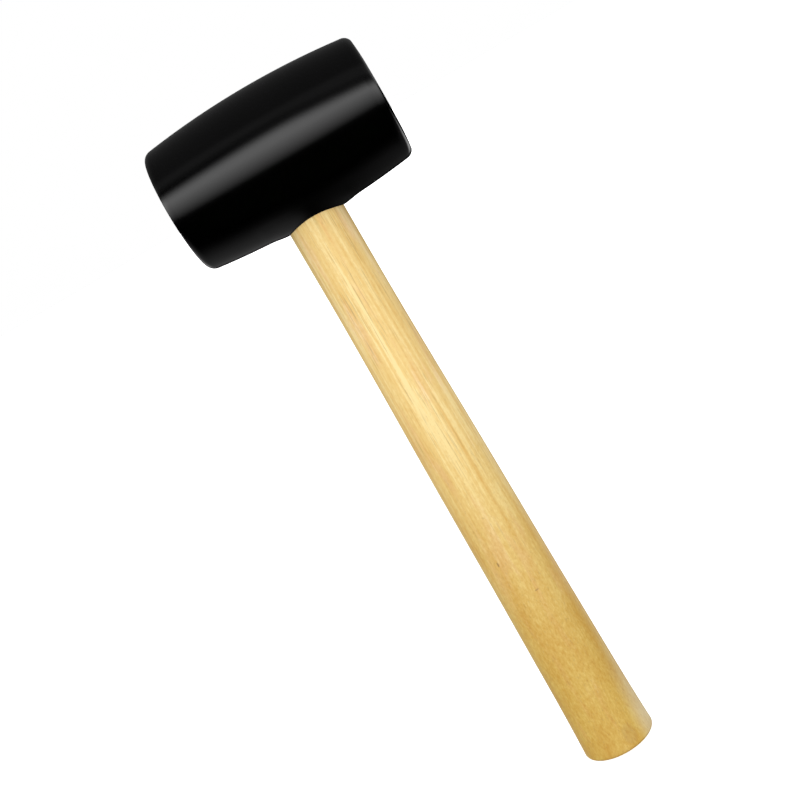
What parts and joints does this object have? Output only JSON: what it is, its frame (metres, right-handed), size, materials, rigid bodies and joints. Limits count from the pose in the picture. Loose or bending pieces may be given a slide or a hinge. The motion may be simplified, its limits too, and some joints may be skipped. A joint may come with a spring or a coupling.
{
  "type": "rubber mallet",
  "caption": "Rubber mallet with a barrel-shaped black rubber head and a turned wooden handle, for setting pavers, tiles and panels without marking them.",
  "frame": {"origin": "centre of the handle's butt end", "axes": "+Z along the handle towards the head, +X along the head's axis towards one strike face, Y across the head"},
  "size_m": [0.1054, 0.065, 0.35],
  "materials": {
    "head_rubber": "satin moulded black rubber",
    "handle_wood": "turned pale hardwood under clear satin lacquer",
    "wedge_wood": "split hardwood, bare"
  },
  "bodies": {
    "root": {"rubber_head": "head_rubber", "wooden_handle": "handle_wood", "fox_wedge": "wedge_wood"}
  },
  "joints": []
}
